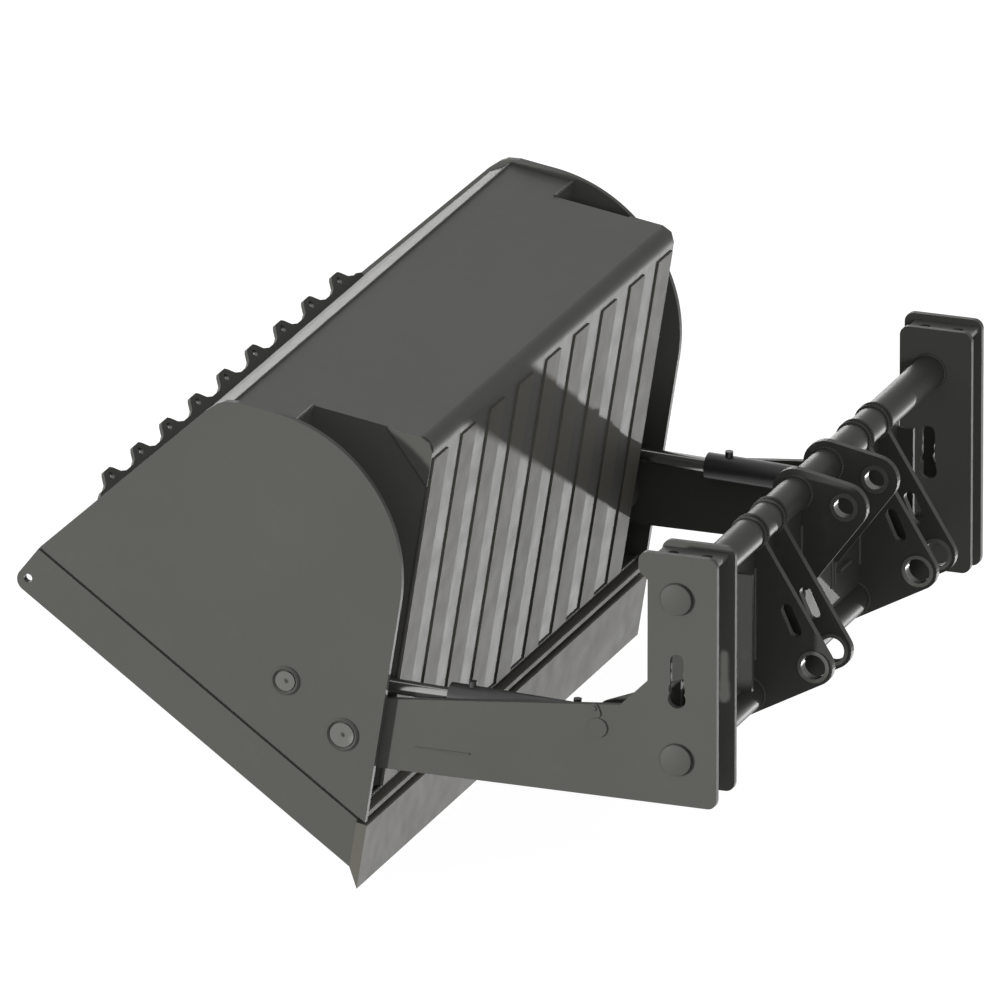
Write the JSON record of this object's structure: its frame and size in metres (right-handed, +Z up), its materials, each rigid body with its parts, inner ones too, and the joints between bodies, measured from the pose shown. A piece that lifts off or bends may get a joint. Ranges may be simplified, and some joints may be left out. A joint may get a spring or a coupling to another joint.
{
  "type": "high dump bucket",
  "caption": "Loader bucket hinged near its cutting edge on a two-armed carrier frame, tipped by a cylinder beside each arm.",
  "frame": {"origin": "on the axis of the loader's two lower pin bores, midway between the arms", "axes": "+X to the right across the machine, +Y forward from the loader, +Z up, with the uprights vertical and the bucket tipped"},
  "size_m": [2.53, 2.4297, 1.538],
  "materials": {
    "painted_plate": "satin",
    "wear_steel": "satin",
    "pin_steel": "satin",
    "chromed_rod": "gloss",
    "cylinder_paint": "satin"
  },
  "bodies": {
    "carrier": {"left_arm_plate": "painted_plate", "right_arm_plate": "painted_plate", "left_inner_upright": "painted_plate", "right_inner_upright": "painted_plate", "left_top_cap": "painted_plate", "right_top_cap": "painted_plate", "left_pin_cheek": "painted_plate", "right_pin_cheek": "painted_plate", "left_barrel_pin": "pin_steel", "right_barrel_pin": "pin_steel", "pin_keepers": "pin_steel", "upper_tube": "painted_plate", "lower_tube": "painted_plate", "tube_plugs": "painted_plate", "centre_panel": "painted_plate", "panel_tabs": "painted_plate", "left_upper_ear": "painted_plate", "right_upper_ear": "painted_plate", "ear_bushes": "pin_steel", "left_lugs": "painted_plate", "right_lugs": "painted_plate", "lug_bushes": "pin_steel"},
    "bucket": {"left_side_plate": "painted_plate", "right_side_plate": "painted_plate", "shell_sheet": "painted_plate", "top_sheet": "painted_plate", "left_recess_wall": "painted_plate", "right_recess_wall": "painted_plate", "left_recess_roof": "painted_plate", "right_recess_roof": "painted_plate", "cutting_edge": "wear_steel", "heel_bar": "wear_steel", "left_side_cutter": "wear_steel", "right_side_cutter": "wear_steel", "lip_bar": "painted_plate", "lip_rail": "painted_plate", "wear_strips": "wear_steel", "left_corner_gusset": "painted_plate", "right_corner_gusset": "painted_plate", "left_pivot_pin": "pin_steel", "right_pivot_pin": "pin_steel", "left_rod_pin_bosses": "pin_steel", "right_rod_pin_bosses": "pin_steel", "grease_nipples": "pin_steel"},
    "left_cylinder": {"left_barrel": "cylinder_paint"},
    "right_cylinder": {"right_barrel": "cylinder_paint"},
    "left_piston": {"left_rod": "chromed_rod"},
    "right_piston": {"right_rod": "chromed_rod"}
  },
  "joints": [
    {"name": "bucket_tip", "type": "hinge", "parent": "carrier", "child": "bucket", "pos_m": [0, 1.297, -0.156], "axis": [1, 0, 0], "range_deg": [0, 80]},
    {"name": "left_cylinder_swing", "type": "hinge", "parent": "carrier", "child": "left_cylinder", "pos_m": [-1.148, 0.472, -0.042], "axis": [1, 0, 0], "range_deg": [0, 5.6]},
    {"name": "right_cylinder_swing", "type": "hinge", "parent": "carrier", "child": "right_cylinder", "pos_m": [1.148, 0.472, -0.042], "axis": [1, 0, 0], "range_deg": [0, 5.6]},
    {"name": "left_piston_slide", "type": "slide", "parent": "left_cylinder", "child": "left_piston", "axis": [0, 0.9993, 0.0386], "range_m": [-0.2995, 0]},
    {"name": "right_piston_slide", "type": "slide", "parent": "right_cylinder", "child": "right_piston", "axis": [0, 0.9993, 0.0386], "range_m": [-0.2995, 0]}
  ],
  "couplings": [
    {"joint": "left_cylinder_swing", "follows": "bucket_tip", "ratio": 0.069172},
    {"joint": "right_cylinder_swing", "follows": "bucket_tip", "ratio": 0.069172},
    {"joint": "left_piston_slide", "follows": "bucket_tip", "m_per_rad": -0.21411},
    {"joint": "right_piston_slide", "follows": "bucket_tip", "m_per_rad": -0.21411}
  ]
}
